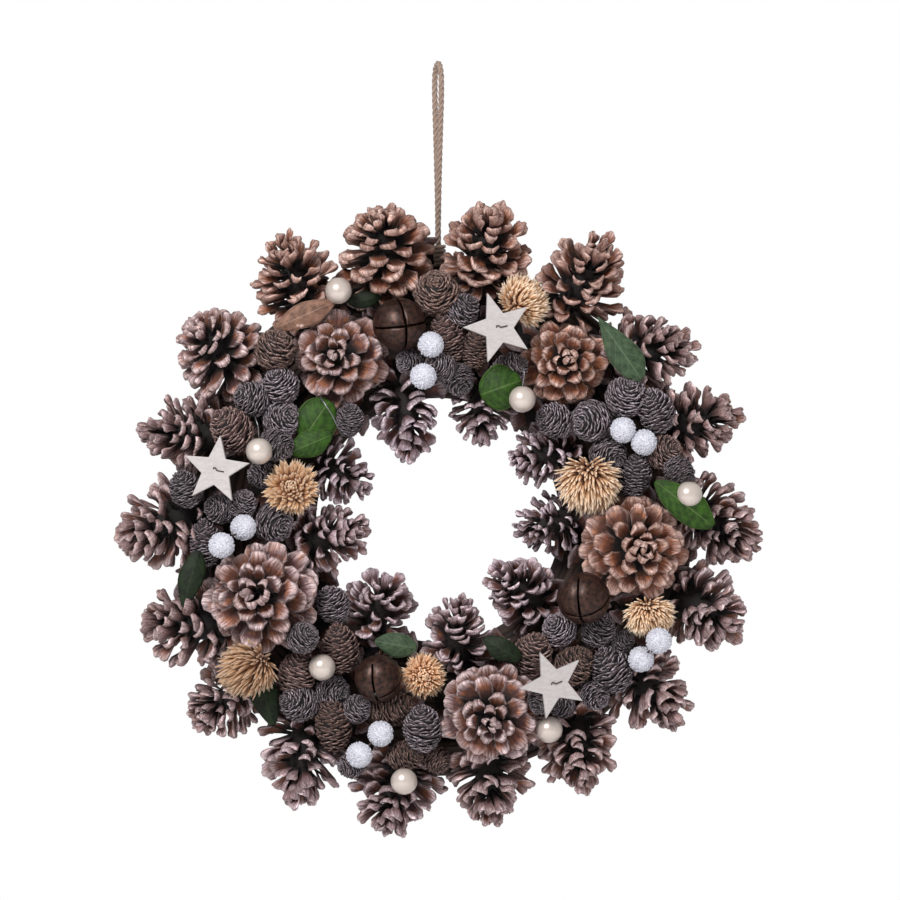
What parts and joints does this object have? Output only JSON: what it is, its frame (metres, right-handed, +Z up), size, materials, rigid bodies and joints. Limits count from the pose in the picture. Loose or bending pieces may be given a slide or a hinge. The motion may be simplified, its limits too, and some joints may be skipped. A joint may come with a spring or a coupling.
{
  "type": "pine cone christmas wreath",
  "caption": "Hanging wreath of open pine cones on a flat ring, with alder cones, rusty jingle bells, wooden stars, pearls, frosted berries, straw flower heads and a twine loop.",
  "frame": {"origin": "inside the top of the twine loop's eye, where the hook or nail carries it", "axes": "+Z up; +Y from the front of the wreath back to the wall, so the wreath faces -Y"},
  "size_m": [0.3687, 0.092, 0.4413],
  "materials": {
    "pine_cone": "matte",
    "red_pine_cone": "matte",
    "alder_cone": "matte",
    "willow": "matte",
    "jute": "matte",
    "rusty_steel": "satin",
    "pellet_steel": "satin",
    "straw": "matte",
    "green_leaf": "matte",
    "grey_leaf": "matte",
    "dark_leaf": "matte",
    "white_wood": "matte"
  },
  "bodies": {
    "root": {"alder_spray_1": "alder_cone", "alder_spray_2": "alder_cone", "alder_spray_3": "alder_cone", "alder_spray_4": "alder_cone", "alder_spray_5": "alder_cone", "base_ring": "willow", "bell_1": "rusty_steel", "bell_2": "rusty_steel", "bell_3": "rusty_steel", "bell_pellet_1": "pellet_steel", "bell_pellet_2": "pellet_steel", "bell_pellet_3": "pellet_steel", "flower_head_1": "straw", "flower_head_2": "straw", "flower_head_3": "straw", "flower_head_4": "straw", "flower_head_5": "straw", "flower_head_6": "straw", "front_cone_1": "pine_cone", "front_cone_2": "red_pine_cone", "front_cone_3": "pine_cone", "front_cone_4": "pine_cone", "front_cone_5": "pine_cone", "hanging_loop": "jute", "inner_cone_1": "pine_cone", "inner_cone_2": "pine_cone", "inner_cone_3": "pine_cone", "inner_cone_4": "pine_cone", "inner_cone_5": "pine_cone", "inner_cone_6": "pine_cone", "inner_cone_7": "pine_cone", "inner_cone_8": "pine_cone", "inner_cone_9": "pine_cone", "leaf_1": "green_leaf", "leaf_2": "green_leaf", "leaf_3": "grey_leaf", "leaf_4": "green_leaf", "leaf_5": "dark_leaf", "leaf_6": "dark_leaf", "outer_cone_01": "red_pine_cone", "outer_cone_02": "red_pine_cone", "outer_cone_03": "red_pine_cone", "outer_cone_04": "pine_cone", "outer_cone_05": "pine_cone", "outer_cone_06": "pine_cone", "outer_cone_07": "pine_cone", "outer_cone_08": "pine_cone", "outer_cone_09": "pine_cone", "outer_cone_10": "pine_cone", "outer_cone_11": "pine_cone", "outer_cone_12": "pine_cone", "outer_cone_13": "pine_cone", "outer_cone_14": "pine_cone", "outer_cone_15": "pine_cone", "outer_cone_16": "pine_cone", "outer_cone_17": "pine_cone", "outer_cone_18": "red_pine_cone", "wooden_star_1": "white_wood", "wooden_star_2": "white_wood", "wooden_star_3": "white_wood"}
  },
  "joints": []
}
